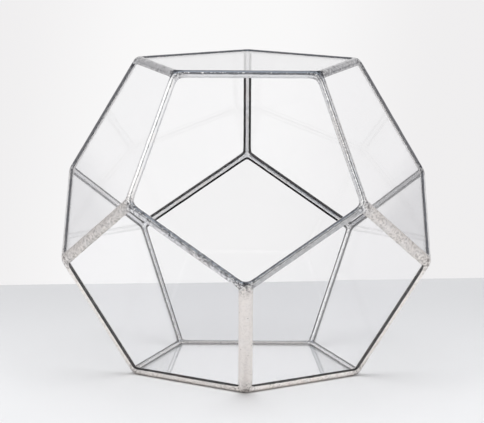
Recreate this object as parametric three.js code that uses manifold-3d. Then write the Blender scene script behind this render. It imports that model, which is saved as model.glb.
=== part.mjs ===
// A glass terrarium case: a regular dodecahedron of eleven flat panes, each edged with copper foil tape,
// joined by solder seams. The twelfth side is left open as the mouth. Millimetres, +Z up, the mouth
// towards -Y, the origin at the middle of the base, on the surface that the case stands on.

import * as THREE from 'three';
import { mergeVertices } from 'three/addons/utils/BufferGeometryUtils.js';
import ManifoldModule from 'manifold-3d';

const wasm = await ManifoldModule();
wasm.setup();

// Driving dimensions
const EDGE = 76.2;            // edge of the dodecahedron on which the outer glass faces lie
const GLASS = 2.5;            // thickness of a pane
const FOIL_WIDTH = 4.4;       // width of the copper tape before it is folded round a pane's edge
const FOIL_SHIFT = 0.2;       // how far the tape is set towards the outside
const FOIL = 0.15;            // thickness of the tape
const GAP = 0.1;              // clearance between glass, tape and solder
const WEB = 0.5;              // solder between two taped panes where it is narrowest
const SEAM_RUN_OUT = 0.5;     // how far a seam runs onto the glass past the tape, outside the case
const SEAM_RUN_IN = 0.35;     // the same, inside the case
const SEAM_RIDGE = 0.35;      // height of a seam's ridge above the dodecahedron's edge
const SEAM_BEAD_IN = 1.15;    // height of the bead inside the case above its own sides
const RIM_RADIUS = 2.1;       // round bead along the mouth
const RIM_SET = 0.8;          // how far the centre of that bead lies inside the pane's edge
const KNOT_RADIUS = 5;        // solder knot over a corner, outside the case
const KNOT_DEPTH = 4.8;       // depth of the knot's centre below the dodecahedron's corner
const KNOT_RADIUS_IN = 3.4;   // the same knot inside the case
const KNOT_DEPTH_IN = 1.6;    // how far it reaches inwards from the knot's centre
const FOOT = 0.7;             // height of the base pane above the surface that the case stands on
const MITRE_GAP = 0.3;        // clearance where seams meet at a corner
const ARC_STEPS_OUT = 6;      // straight pieces in a seam's outer curve
const ARC_STEPS_IN = 4;       // straight pieces in its inner curve
const RIM_STEPS = 12;         // straight pieces round the rim bead
const KNOT_STEPS = 8;         // straight pieces round a knot
const KNOT_RINGS = 3;         // straight pieces from its middle to its rim, on each side

// The regular dodecahedron
const SIDES = 5;
const TURN = 2 * Math.PI / SIDES;
const GOLDEN = (1 + Math.sqrt(5)) / 2;
const BASE_RADIUS = EDGE / (2 * Math.sin(TURN / 2));
const RING_RADIUS = GOLDEN * BASE_RADIUS;
const HEIGHT = BASE_RADIUS + RING_RADIUS;
const CENTRE = new THREE.Vector3(0, 0, FOOT + HEIGHT / 2);
const HALF_FOLD = Math.acos(1 / Math.sqrt(5)) / 2;     // half the angle between neighbouring faces' normals
const FACE_INRADIUS = EDGE / (2 * Math.tan(TURN / 2));

// Sizes that follow from the driving dimensions
const LAYER = GAP + FOIL + GAP;                         // from the glass to the solder, through the tape
const LIP_OUT = (FOIL_WIDTH - GLASS) / 2 + FOIL_SHIFT;  // tape folded onto the pane's outer face
const LIP_IN = (FOIL_WIDTH - GLASS) / 2 - FOIL_SHIFT;   // tape folded onto its inner face
const PANE_SET = LAYER + (WEB / 2 + (GLASS + LAYER) * Math.sin(HALF_FOLD)) / Math.cos(HALF_FOLD);
const PANE_INRADIUS = FACE_INRADIUS - PANE_SET;

const FINISH = {
  glass: { color: 0xeef3f2, roughness: 0.03, metalness: 0, transparent: true, opacity: 0.3 },
  foil: { color: 0x3a302a, roughness: 0.5, metalness: 0.8 },
  solder: { color: 0xb9b5b0, roughness: 0.35, metalness: 1 },
};

// Corners of one ring of the dodecahedron, anticlockwise seen from above, the first towards -Y
function cornerRing(radius, height, shift) {
  return Array.from({ length: SIDES }, (_, k) => {
    const angle = (k + shift) * TURN;
    return new THREE.Vector3(radius * Math.sin(angle), -radius * Math.cos(angle), FOOT + height);
  });
}

function makeFace(name, corners) {
  const centre = corners.reduce((sum, point) => sum.add(point), new THREE.Vector3()).divideScalar(SIDES);
  return { name, corners, centre, normal: centre.clone().sub(CENTRE).normalize() };
}

const BASE = cornerRing(BASE_RADIUS, 0, 0);
const LOW = cornerRing(RING_RADIUS, BASE_RADIUS, 0);
const HIGH = cornerRing(RING_RADIUS, RING_RADIUS, 0.5);
const CROWN = cornerRing(BASE_RADIUS, HEIGHT, 0.5);

const FACES = [makeFace('base', BASE), makeFace('top', CROWN)];
const EDGES = [];
for (let k = 0; k < SIDES; k += 1) {
  const next = (k + 1) % SIDES;
  const last = (k + SIDES - 1) % SIDES;
  FACES.push(makeFace(`lower_${k}`, [BASE[k], BASE[next], LOW[next], HIGH[k], LOW[k]]));
  FACES.push(makeFace(`upper_${k}`, [CROWN[last], CROWN[k], HIGH[k], LOW[k], HIGH[last]]));
  EDGES.push({ name: `base_${k}`, ends: [BASE[k], BASE[next]] });
  EDGES.push({ name: `leg_${k}`, ends: [BASE[k], LOW[k]] });
  EDGES.push({ name: `rise_${k}`, ends: [LOW[k], HIGH[k]] });
  EDGES.push({ name: `fall_${k}`, ends: [HIGH[k], LOW[next]] });
  EDGES.push({ name: `shoulder_${k}`, ends: [CROWN[k], HIGH[k]] });
  EDGES.push({ name: `crown_${k}`, ends: [CROWN[k], CROWN[next]] });
}
const MOUTH = FACES.find((face) => face.name === 'upper_0');
const GLAZED = FACES.filter((face) => face !== MOUTH);

// A closed geometry as a manifold solid, moved by a matrix
function toSolid(geometry, matrix) {
  const bare = geometry.clone().applyMatrix4(matrix);
  bare.deleteAttribute('normal');
  bare.deleteAttribute('uv');
  const merged = mergeVertices(bare, 1e-4);
  const index = merged.index.array;
  const triVerts = [];
  for (let i = 0; i < index.length; i += 3) {
    const [a, b, c] = index.subarray(i, i + 3);
    if (a !== b && b !== c && c !== a) triVerts.push(a, b, c);
  }
  const vertProperties = merged.attributes.position.array;
  return new wasm.Manifold(new wasm.Mesh({ numProp: 3, vertProperties, triVerts: new Uint32Array(triVerts) }));
}

// The largest body of a solid, as a geometry; crumbs that a cut leaves are dropped
function toGeometry(solid) {
  const [body] = solid.decompose().sort((a, b) => b.volume() - a.volume());
  const mesh = body.getMesh();
  const geometry = new THREE.BufferGeometry();
  geometry.setAttribute('position', new THREE.BufferAttribute(mesh.vertProperties, 3));
  geometry.setIndex(new THREE.BufferAttribute(mesh.triVerts, 1));
  geometry.computeVertexNormals();
  return geometry;
}

// A five-sided ring or disc from a profile of [distance to a side, height] pairs
function pentagonLathe(profile) {
  const stretch = 1 / Math.cos(TURN / 2);
  return new THREE.LatheGeometry(profile.map(([r, y]) => new THREE.Vector2(r * stretch, y)), SIDES);
}

// The frame of a pane: +Y out of the case from its outer face, +Z towards its first corner
function paneMatrix(face) {
  const toCorner = face.corners[0].clone().sub(face.centre).normalize();
  const side = face.normal.clone().cross(toCorner);
  return new THREE.Matrix4().makeBasis(side, face.normal, toCorner).setPosition(face.centre);
}

function paneGeometry() {
  const radius = PANE_INRADIUS / Math.cos(TURN / 2);
  return new THREE.CylinderGeometry(radius, radius, GLASS, SIDES).translate(0, -GLASS / 2, 0);
}

// Tape folded round a pane's edge, a C in section
function foilGeometry() {
  const edgeIn = PANE_INRADIUS + GAP;
  const edgeOut = edgeIn + FOIL;
  const topIn = GAP;
  const topOut = GAP + FOIL;
  const lipOut = PANE_INRADIUS - LIP_OUT;
  const lipIn = PANE_INRADIUS - LIP_IN;
  return pentagonLathe([
    [lipIn, -GLASS - topOut],
    [edgeOut, -GLASS - topOut],
    [edgeOut, topOut],
    [lipOut, topOut],
    [lipOut, topIn],
    [edgeIn, topIn],
    [edgeIn, -GLASS - topIn],
    [lipIn, -GLASS - topIn],
    [lipIn, -GLASS - topOut],
  ]);
}

// The room that a taped pane takes out of the solder
function tapedPaneGeometry() {
  const edge = PANE_INRADIUS + LAYER;
  const lipOut = PANE_INRADIUS - LIP_OUT - GAP;
  const lipIn = PANE_INRADIUS - LIP_IN - GAP;
  return pentagonLathe([
    [0, -GLASS - GAP],
    [lipIn, -GLASS - GAP],
    [lipIn, -GLASS - LAYER],
    [edge, -GLASS - LAYER],
    [edge, LAYER],
    [lipOut, LAYER],
    [lipOut, GAP],
    [0, GAP],
  ]);
}

// Points on an arc that bulges by rise past the line between [-half, level] and [half, level]
function arcPoints(half, level, rise, steps) {
  const radius = (half * half + rise * rise) / (2 * rise);
  const middle = level + rise - radius;
  const reach = Math.atan2(half, level - middle);
  return Array.from({ length: steps + 1 }, (_, i) => {
    const angle = reach * (1 - 2 * i / steps);
    return new THREE.Vector2(radius * Math.sin(angle), middle + radius * Math.cos(angle));
  });
}

// A seam's section: +X to one pane, +Y out of the case, the dodecahedron's edge at the origin
function seamShape() {
  const onPane = (along, above) => new THREE.Vector2(
    along * Math.cos(HALF_FOLD) + above * Math.sin(HALF_FOLD),
    above * Math.cos(HALF_FOLD) - along * Math.sin(HALF_FOLD),
  );
  const toeOut = onPane(PANE_SET + LIP_OUT + SEAM_RUN_OUT, 0);
  const toeIn = onPane(PANE_SET + LIP_IN + SEAM_RUN_IN, -GLASS);
  const outer = arcPoints(toeOut.x, toeOut.y, SEAM_RIDGE - toeOut.y, ARC_STEPS_OUT);
  const inner = arcPoints(toeIn.x, -toeIn.y, SEAM_BEAD_IN, ARC_STEPS_IN);
  return new THREE.Shape([...outer, ...inner.map((point) => new THREE.Vector2(-point.x, -point.y))]);
}

// The rim bead's section: +X out of the mouth's side of the pane, +Y out of the pane's outer face
function rimShape() {
  const points = Array.from({ length: RIM_STEPS }, (_, i) => {
    const angle = 2 * Math.PI * i / RIM_STEPS;
    return new THREE.Vector2(
      RIM_RADIUS * Math.cos(angle) - PANE_SET - RIM_SET,
      RIM_RADIUS * Math.sin(angle) - GLASS / 2,
    );
  });
  return new THREE.Shape(points);
}

// A bar of a section along an edge, longer than the edge, to be cut at both ends
function barSolid(edge, shape, outward) {
  const [start, end] = edge.ends;
  const length = 1.2 * EDGE;
  let along = end.clone().sub(start).normalize();
  const side = outward.clone().cross(along);
  const towardsPane = edge.panes[0].centre.clone().sub(edge.middle);
  if (side.dot(towardsPane) > 0) {
    side.negate();
    along = along.clone().negate();
  }
  const geometry = new THREE.ExtrudeGeometry(shape, { depth: length, bevelEnabled: false });
  geometry.translate(0, 0, -length / 2);
  return toSolid(geometry, new THREE.Matrix4().makeBasis(side, outward, along).setPosition(edge.middle));
}

// A solder knot over one corner, turned about the line from the middle of the case
function knotSolid(corner) {
  const angles = Array.from({ length: KNOT_RINGS + 1 }, (_, i) => Math.PI / 2 * i / KNOT_RINGS);
  const inside = angles.map((angle) => new THREE.Vector2(
    KNOT_RADIUS_IN * Math.sin(angle),
    -KNOT_DEPTH_IN * Math.cos(angle),
  ));
  const outside = angles.map((angle) => new THREE.Vector2(
    KNOT_RADIUS * Math.cos(angle),
    KNOT_RADIUS * Math.sin(angle),
  ));
  const axis = corner.clone().sub(CENTRE).normalize();
  const turn = new THREE.Quaternion().setFromUnitVectors(new THREE.Vector3(0, 1, 0), axis);
  const place = corner.clone().addScaledVector(axis, -KNOT_DEPTH);
  const matrix = new THREE.Matrix4().compose(place, turn, new THREE.Vector3(1, 1, 1));
  return toSolid(new THREE.LatheGeometry([...inside, ...outside], KNOT_STEPS), matrix);
}

// Keeps the part of a solid on the far side of a plane through a point, by a clearance
function keepBeyond(solid, point, normal, clearance) {
  return solid.trimByPlane(normal.toArray(), normal.dot(point) + clearance);
}

const MOUTH_DEPTH = (PANE_SET + RIM_SET) * Math.sin(2 * HALF_FOLD)
  + GLASS / 2 * Math.cos(2 * HALF_FOLD) - RIM_RADIUS;   // from the mouth's plane to the rim's top

// Solder along one edge: a bar and its knots, mitred at both corners and cut back round the taped panes
function solderSolid(edge, keepOuts) {
  const isRim = edge.panes.length === 1;
  const outward = isRim ? edge.panes[0].normal : edge.middle.clone().sub(CENTRE).normalize();
  let solid = barSolid(edge, isRim ? rimShape() : seamShape(), outward);
  for (const corner of edge.ends) {
    const atMouth = MOUTH.corners.includes(corner);
    const direction = otherEnd(edge, corner).clone().sub(corner).normalize();
    if (!atMouth) solid = solid.add(knotSolid(corner));
    for (const neighbour of EDGES.filter((one) => one !== edge && one.ends.includes(corner))) {
      const away = otherEnd(neighbour, corner).clone().sub(corner).normalize();
      solid = keepBeyond(solid, corner, direction.clone().sub(away).normalize(), MITRE_GAP / 2);
    }
    if (atMouth && !isRim) {
      solid = keepBeyond(solid, corner, MOUTH.normal.clone().negate(), MOUTH_DEPTH + MITRE_GAP);
    }
  }
  solid = keepBeyond(solid, new THREE.Vector3(), new THREE.Vector3(0, 0, 1), 0);
  for (const pane of GLAZED) {
    if (edge.ends.some((corner) => pane.corners.includes(corner))) {
      solid = solid.subtract(keepOuts.get(pane));
    }
  }
  return solid;
}

function otherEnd(edge, corner) {
  return edge.ends[0] === corner ? edge.ends[1] : edge.ends[0];
}

function makeMesh(name, geometry, finish) {
  const mesh = new THREE.Mesh(geometry, new THREE.MeshStandardMaterial(finish));
  mesh.name = name;
  return mesh;
}

// One pane and its tape, in a group placed in the pane's frame
function tapedPane(face) {
  const group = new THREE.Group();
  group.add(makeMesh(`pane_${face.name}`, paneGeometry(), FINISH.glass));
  group.add(makeMesh(`foil_${face.name}`, foilGeometry(), FINISH.foil));
  paneMatrix(face).decompose(group.position, group.quaternion, group.scale);
  return group;
}

function buildTerrarium() {
  const terrarium = new THREE.Group();
  terrarium.name = 'terrarium';
  const keepOuts = new Map();
  for (const face of GLAZED) {
    terrarium.add(tapedPane(face));
    keepOuts.set(face, toSolid(tapedPaneGeometry(), paneMatrix(face)));
  }
  for (const edge of EDGES) {
    edge.panes = GLAZED.filter((face) => edge.ends.every((corner) => face.corners.includes(corner)));
    edge.middle = edge.ends[0].clone().add(edge.ends[1]).multiplyScalar(0.5);
    const kind = edge.panes.length === 1 ? 'rim' : 'seam';
    const geometry = toGeometry(solderSolid(edge, keepOuts));
    terrarium.add(makeMesh(`${kind}_${edge.name}`, geometry, FINISH.solder));
  }
  return terrarium;
}

export default buildTerrarium();
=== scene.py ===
"""Dresses a glass terrarium case: clear pentagon panes, copper tape round their edges and fused solder."""

import logging
import math
from dataclasses import astuple, dataclass, field, fields
from enum import Enum
from functools import cached_property, reduce

import bmesh
import bpy
import numpy as np
from mathutils import Euler, Matrix, Vector


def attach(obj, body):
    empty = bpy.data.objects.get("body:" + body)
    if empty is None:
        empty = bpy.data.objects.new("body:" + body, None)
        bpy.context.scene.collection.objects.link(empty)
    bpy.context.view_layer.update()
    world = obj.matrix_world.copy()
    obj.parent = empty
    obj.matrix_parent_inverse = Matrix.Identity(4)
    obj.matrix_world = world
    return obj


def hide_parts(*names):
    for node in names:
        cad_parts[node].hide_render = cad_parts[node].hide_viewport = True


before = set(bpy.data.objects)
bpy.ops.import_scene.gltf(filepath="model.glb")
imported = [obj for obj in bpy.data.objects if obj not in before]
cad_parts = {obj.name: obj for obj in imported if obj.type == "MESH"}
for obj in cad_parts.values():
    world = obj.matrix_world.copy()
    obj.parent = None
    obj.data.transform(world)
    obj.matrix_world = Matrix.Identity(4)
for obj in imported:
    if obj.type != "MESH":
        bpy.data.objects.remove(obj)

LOG = logging.getLogger("terrarium")
MM = 0.001
SIDES = 5
TURN = 2 * math.pi / SIDES
GOLDEN = (1 + math.sqrt(5)) / 2
MOUTH_FACE = "upper_0"

Point = np.ndarray
Colour = tuple[float, float, float]
Mesh = bpy.types.Mesh
Socket = bpy.types.NodeSocket
Material = bpy.types.Material

# A smooth step: where it starts and ends, and its values there unless they are 0 and 1.
Ramp = tuple[float, ...]


def unit(vector: Point) -> Point:
    """Returns a vector at length one."""
    return vector / np.linalg.norm(vector)


def towards(vector: Point, aim: Point) -> Point:
    """Returns a vector, turned round if it points away from an aim."""
    return vector if vector @ aim >= 0 else -vector


class Slot(Enum):
    """The record's material slots."""

    GLASS = "clear_glass"
    TAPE = "copper_foil"
    SOLDER = "solder"


# The form of the case


@dataclass(frozen=True)
class Face:
    """One flat side of the case.

    Attributes:
        name: The side's name, as in the CAD nodes.
        corners: Its five corners, in order.
        centre: Its middle, on the outer glass face.
        normal: The direction out of the case.
    """

    name: str
    corners: tuple[int, ...]
    centre: Point
    normal: Point


@dataclass(frozen=True)
class Edge:
    """One edge of the case.

    Attributes:
        name: The edge's name, as in the CAD nodes.
        ends: Its two corners.
        faces: The sides that meet there; a glazed side comes first.
    """

    name: str
    ends: tuple[int, int]
    faces: tuple[Face, Face]

    @property
    def is_rim(self) -> bool:
        """Whether the edge bounds the open mouth."""
        return self.faces[1].name == MOUTH_FACE

    @property
    def node(self) -> str:
        """The name of the edge's CAD node."""
        return f"{'rim' if self.is_rim else 'seam'}_{self.name}"


@dataclass(frozen=True)
class CaseForm:
    """The regular dodecahedron on which the outer glass faces lie.

    Attributes:
        edge: Length of an edge.
        foot: Height of the base pane above the surface that the case stands on.
    """

    edge: float = 76.2 * MM
    foot: float = 0.7 * MM

    @property
    def base_radius(self) -> float:
        """Radius of the corners of the base."""
        return self.edge / (2 * math.sin(TURN / 2))

    @property
    def ring_radius(self) -> float:
        """Radius of the corners round the middle."""
        return GOLDEN * self.base_radius

    @property
    def height(self) -> float:
        """Height from the base pane's outer face to the top pane's."""
        return self.base_radius + self.ring_radius

    @property
    def centre(self) -> Point:
        """The middle of the case."""
        return np.array((0, 0, self.foot + self.height / 2))

    @property
    def half_fold(self) -> float:
        """Half the angle between the normals of neighbouring sides."""
        return math.acos(1 / math.sqrt(5)) / 2

    @property
    def face_inradius(self) -> float:
        """Distance from a side's middle to its edges."""
        return self.edge / (2 * math.tan(TURN / 2))

    @cached_property
    def corners(self) -> np.ndarray:
        """The twenty corners, in four rings from the base up, each ring anticlockwise from the front."""
        # Each ring's radius, height and shift round the case, in turns from corner to corner.
        rings = (
            (self.base_radius, 0.0, 0.0),
            (self.ring_radius, self.base_radius, 0.0),
            (self.ring_radius, self.ring_radius, 0.5),
            (self.base_radius, self.height, 0.5),
        )
        return np.array([
            (radius * math.sin(turn * TURN), -radius * math.cos(turn * TURN), self.foot + height)
            for radius, height, shift in rings
            for turn in (k + shift for k in range(SIDES))
        ])

    @cached_property
    def faces(self) -> tuple[Face, ...]:
        """The twelve sides, the open mouth among them."""
        base, low, high, crown = (range(n, n + SIDES) for n in range(0, 4 * SIDES, SIDES))
        loops = {"base": tuple(base), "top": tuple(crown)}
        for k in range(SIDES):
            after = (k + 1) % SIDES
            loops[f"lower_{k}"] = (base[k], base[after], low[after], high[k], low[k])
            loops[f"upper_{k}"] = (crown[k - 1], crown[k], high[k], low[k], high[k - 1])
        return tuple(self._face(name, loop) for name, loop in loops.items())

    def _face(self, name: str, loop: tuple[int, ...]) -> Face:
        """Makes one side from its corners, in order."""
        centre = self.corners[list(loop)].mean(axis=0)
        return Face(name, loop, centre, unit(centre - self.centre))

    @property
    def glazed(self) -> tuple[Face, ...]:
        """The eleven sides that hold a pane."""
        return tuple(face for face in self.faces if face.name != MOUTH_FACE)

    @cached_property
    def edges(self) -> tuple[Edge, ...]:
        """The thirty edges."""
        base, low, high, crown = (range(n, n + SIDES) for n in range(0, 4 * SIDES, SIDES))
        pairs = {}
        for k in range(SIDES):
            after = (k + 1) % SIDES
            pairs[f"base_{k}"] = (base[k], base[after])
            pairs[f"leg_{k}"] = (base[k], low[k])
            pairs[f"rise_{k}"] = (low[k], high[k])
            pairs[f"fall_{k}"] = (high[k], low[after])
            pairs[f"shoulder_{k}"] = (crown[k], high[k])
            pairs[f"crown_{k}"] = (crown[k], crown[after])
        return tuple(self._edge(name, pair) for name, pair in pairs.items())

    def _edge(self, name: str, ends: tuple[int, int]) -> Edge:
        """Makes one edge from its two corners, with its glazed side first."""
        faces = (face for face in self.faces if set(ends) <= set(face.corners))
        return Edge(name, ends, tuple(sorted(faces, key=lambda face: face.name == MOUTH_FACE)))

    def neighbour(self, edge: Edge, corner: int, face: Face) -> Edge:
        """Returns the other edge of a side that ends at one of an edge's corners."""
        ending = (other for other in self.edges if corner in other.ends and face in other.faces)
        return next(other for other in ending if other is not edge)

    def direction(self, edge: Edge, corner: int) -> Point:
        """Returns the direction along an edge, away from one of its ends."""
        far = edge.ends[1] if edge.ends[0] == corner else edge.ends[0]
        return unit(self.corners[far] - self.corners[corner])


# Node trees


class NodeTree:
    """A node tree, built node by node."""

    def __init__(self, tree: bpy.types.NodeTree) -> None:
        """Takes a tree to build in."""
        self.tree = tree

    def node(self, kind: str, inputs: dict | None = None, **settings: object) -> bpy.types.Node:
        """Adds a node.

        Args:
            kind: The node's type.
            inputs: What goes into its sockets: another socket, or a plain value.
            settings: The node's own settings.

        Returns:
            The node.
        """
        made = self.tree.nodes.new(kind)
        for key, value in settings.items():
            setattr(made, key, value)
        for key, value in (inputs or {}).items():
            self.feed(made.inputs[key], value)
        return made

    def feed(self, socket: Socket, value: object) -> None:
        """Links or sets a socket.

        Args:
            socket: The socket.
            value: Another socket, or a plain value.
        """
        if isinstance(value, Socket):
            self.tree.links.new(value, socket)
        elif isinstance(value, tuple) and len(value) < len(getattr(socket, "default_value", value)):
            socket.default_value = (*value, 1.0)
        else:
            socket.default_value = value

    def math(self, operation: str, first: object, second: object = 0.0) -> Socket:
        """Adds a Math node and returns its result."""
        return self.node("ShaderNodeMath", {0: first, 1: second}, operation=operation).outputs[0]

    def plus(self, first: object, second: object) -> Socket:
        """Adds two values."""
        return self.math("ADD", first, second)

    def times(self, *values: object) -> Socket:
        """Multiplies values."""
        return reduce(lambda first, second: self.math("MULTIPLY", first, second), values)

    def step(self, value: object, start: float, end: float, low: float = 0.0, high: float = 1.0) -> Socket:
        """Adds a smooth step from a low value before its start to a high one after its end."""
        inputs = {"Value": value, "From Min": start, "From Max": end, "To Min": low, "To Max": high}
        return self.node("ShaderNodeMapRange", inputs, interpolation_type="SMOOTHSTEP").outputs["Result"]

    def mix(self, factor: object, first: object, second: object) -> Socket:
        """Adds a mix of two colours.

        Args:
            factor: How much of the second there is.
            first: The first colour or socket.
            second: The second colour or socket.

        Returns:
            The colour's socket.
        """
        made = self.node("ShaderNodeMix", {"Factor": factor}, data_type="RGBA")
        by_name = {socket.identifier: socket for socket in (*made.inputs, *made.outputs)}
        self.feed(by_name["A_Color"], first)
        self.feed(by_name["B_Color"], second)
        return by_name["Result_Color"]

    def parts(self, vector: Socket) -> dict[str, Socket]:
        """Splits a vector into its X, Y and Z."""
        made = self.node("ShaderNodeSeparateXYZ", {0: vector})
        return {name: made.outputs[name] for name in "XYZ"}


class GeometryTree(NodeTree):
    """A Geometry Nodes tree with named inputs."""

    def __init__(self, name: str, inputs: dict[str, str]) -> None:
        """Starts a tree with its sockets.

        Args:
            name: The tree's name.
            inputs: Its named inputs besides the geometry, each with its kind, such as "Float".
        """
        super().__init__(bpy.data.node_groups.new(name, "GeometryNodeTree"))
        for label, kind in {"Geometry": "Geometry", **inputs}.items():
            self.tree.interface.new_socket(label, in_out="INPUT", socket_type=f"NodeSocket{kind}")
        self.tree.interface.new_socket("Geometry", in_out="OUTPUT", socket_type="NodeSocketGeometry")
        self.group_in = self.node("NodeGroupInput")
        self.group_out = self.node("NodeGroupOutput")

    def socket(self, name: str) -> Socket:
        """Returns a named input's socket inside the tree."""
        return self.group_in.outputs[name]

    def close(self, geometry: Socket) -> None:
        """Ends the tree in Realize Instances and Set Material.

        Args:
            geometry: The geometry that the tree gives.
        """
        real = self.node("GeometryNodeRealizeInstances", {"Geometry": geometry}).outputs[0]
        inputs = {"Geometry": real, "Material": self.socket("Material")}
        dressed = self.node("GeometryNodeSetMaterial", inputs).outputs[0]
        self.feed(self.group_out.inputs[0], dressed)


def apply_tree(name: str, mesh: Mesh, tree: bpy.types.NodeTree, values: dict) -> bpy.types.Object:
    """Runs a Geometry Nodes tree over a mesh and keeps the result as a plain object.

    Args:
        name: The new object's name.
        mesh: The mesh that goes in.
        tree: The tree.
        values: The tree's inputs by name.

    Returns:
        The object, in the scene, with no modifier on it.
    """
    source = bpy.data.objects.new(f"{name}_source", mesh)
    bpy.context.collection.objects.link(source)
    modifier = source.modifiers.new("tree", "NODES")
    modifier.node_group = tree
    for item in tree.interface.items_tree:
        if item.item_type == "SOCKET" and item.in_out == "INPUT" and item.name in values:
            modifier[item.identifier] = values[item.name]
    return baked(name, source)


def baked(name: str, source: bpy.types.Object) -> bpy.types.Object:
    """Turns an object with modifiers into a plain one and removes the first.

    Args:
        name: The plain object's name.
        source: The object with modifiers.

    Returns:
        The plain object, in the scene.
    """
    graph = bpy.context.evaluated_depsgraph_get()
    mesh = bpy.data.meshes.new_from_object(source.evaluated_get(graph), depsgraph=graph)
    source.modifiers.clear()
    bpy.data.objects.remove(source)
    plain = bpy.data.objects.new(name, mesh)
    mesh.name = name
    bpy.context.collection.objects.link(plain)
    return plain


class ShaderTree(NodeTree):
    """A material's node tree."""

    def __init__(self, name: str) -> None:
        """Starts a material with its Principled shader.

        Args:
            name: The material's name.
        """
        self.material = bpy.data.materials.new(name)
        self.material.use_nodes = True
        super().__init__(self.material.node_tree)
        self.surface = self.tree.nodes["Principled BSDF"]
        self.output = self.tree.nodes["Material Output"]
        self.place = self.node("ShaderNodeTexCoord").outputs["Object"]

    def set(self, **values: object) -> None:
        """Sets the Principled shader's sockets, named with _ for a space."""
        for name, value in values.items():
            self.feed(self.surface.inputs[name.replace("_", " ")], value)

    def noise(self, size: float, detail: float = 2.0, roughness: float = 0.5) -> Socket:
        """Adds a noise over the object's own coordinates, from 0 to 1, with features of a size."""
        inputs = {"Vector": self.place, "Scale": 1 / size, "Detail": detail, "Roughness": roughness}
        return self.node("ShaderNodeTexNoise", inputs).outputs["Fac"]

    def specks(self, size: float, reach: Ramp) -> Socket:
        """Adds round specks, 1 inside, with their mean distance and the ramp of their edges in it."""
        spots = self.node("ShaderNodeTexVoronoi", {"Vector": self.place, "Scale": 1 / size}, feature="F1")
        return self.step(spots.outputs["Distance"], *reach)

    def bump(self, height: Socket, distance: float, under: Socket | None) -> Socket:
        """Adds a bump.

        Args:
            height: The height that it reads.
            distance: The height of a full step.
            under: A coarser bump that it goes on, if there is one.

        Returns:
            The normal.
        """
        inputs = {"Height": height, "Strength": 1.0, "Distance": distance}
        if under is not None:
            inputs["Normal"] = under
        return self.node("ShaderNodeBump", inputs).outputs["Normal"]


# Finishes


@dataclass(frozen=True)
class GlassFinish:
    """Clear window glass.

    Attributes:
        tint: Its colour.
        ior: Its refractive index.
        shade: What it lets through to light the surfaces beyond it.
    """

    tint: Colour = (0.995, 0.995, 1.0)
    ior: float = 1.5
    shade: Colour = (0.995, 0.995, 0.995)

    def material(self) -> Material:
        """Builds the material.

        Returns:
            A refracting glass that lets light through to what lies behind it.
        """
        tree = ShaderTree(Slot.GLASS.value)
        tree.set(Base_Color=self.tint, Transmission_Weight=1.0, Roughness=0.0, IOR=self.ior)
        path = tree.node("ShaderNodeLightPath").outputs
        soft = tree.math("MAXIMUM", path["Is Shadow Ray"], path["Is Diffuse Ray"])
        clear = tree.node("ShaderNodeBsdfTransparent", {"Color": self.shade}).outputs[0]
        mixed = tree.node("ShaderNodeMixShader", {0: soft, 1: tree.surface.outputs["BSDF"], 2: clear})
        tree.feed(tree.output.inputs["Surface"], mixed.outputs[0])
        return tree.material


@dataclass(frozen=True)
class TapeFinish:
    """The dark backing of copper tape, as seen through the glass.

    Attributes:
        dark: The backing's colour.
        warm: The copper that shows through it here and there.
        patch: Size of those places.
        patches: What the noise of that size makes of them.
        grain: Size of its smoother and rougher spots.
        roughness: What the noise of that size makes of its roughness.
        metallic: How much of it is metal.
        shine: How much the rest reflects.
    """

    dark: Colour = (0.018, 0.016, 0.016)
    warm: Colour = (0.075, 0.035, 0.035)
    patch: float = 14 * MM
    patches: Ramp = (0.5, 0.75)
    grain: float = 0.7 * MM
    roughness: Ramp = (0.3, 0.7, 0.4, 0.65)
    metallic: float = 0.2
    shine: float = 0.1

    def material(self) -> Material:
        """Builds the material.

        Returns:
            A dull dark metal with warmer places.
        """
        tree = ShaderTree(Slot.TAPE.value)
        patches = tree.step(tree.noise(self.patch, detail=3.0), *self.patches)
        tree.set(
            Base_Color=tree.mix(patches, self.dark, self.warm),
            Metallic=self.metallic,
            Specular_IOR_Level=self.shine,
            Roughness=tree.step(tree.noise(self.grain), *self.roughness),
        )
        return tree.material


@dataclass(frozen=True)
class SeamLook:
    """How the solder of an edge looks.

    Attributes:
        matt: How matt it is, from 0 to 1.
        tarnish: How much dark reflection is painted on it, from 0 to 1.
        dents: How deeply it is dented, from 0 to 1.
    """

    matt: float = 0.3
    tarnish: float = 0.0
    dents: float = 0.2


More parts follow.
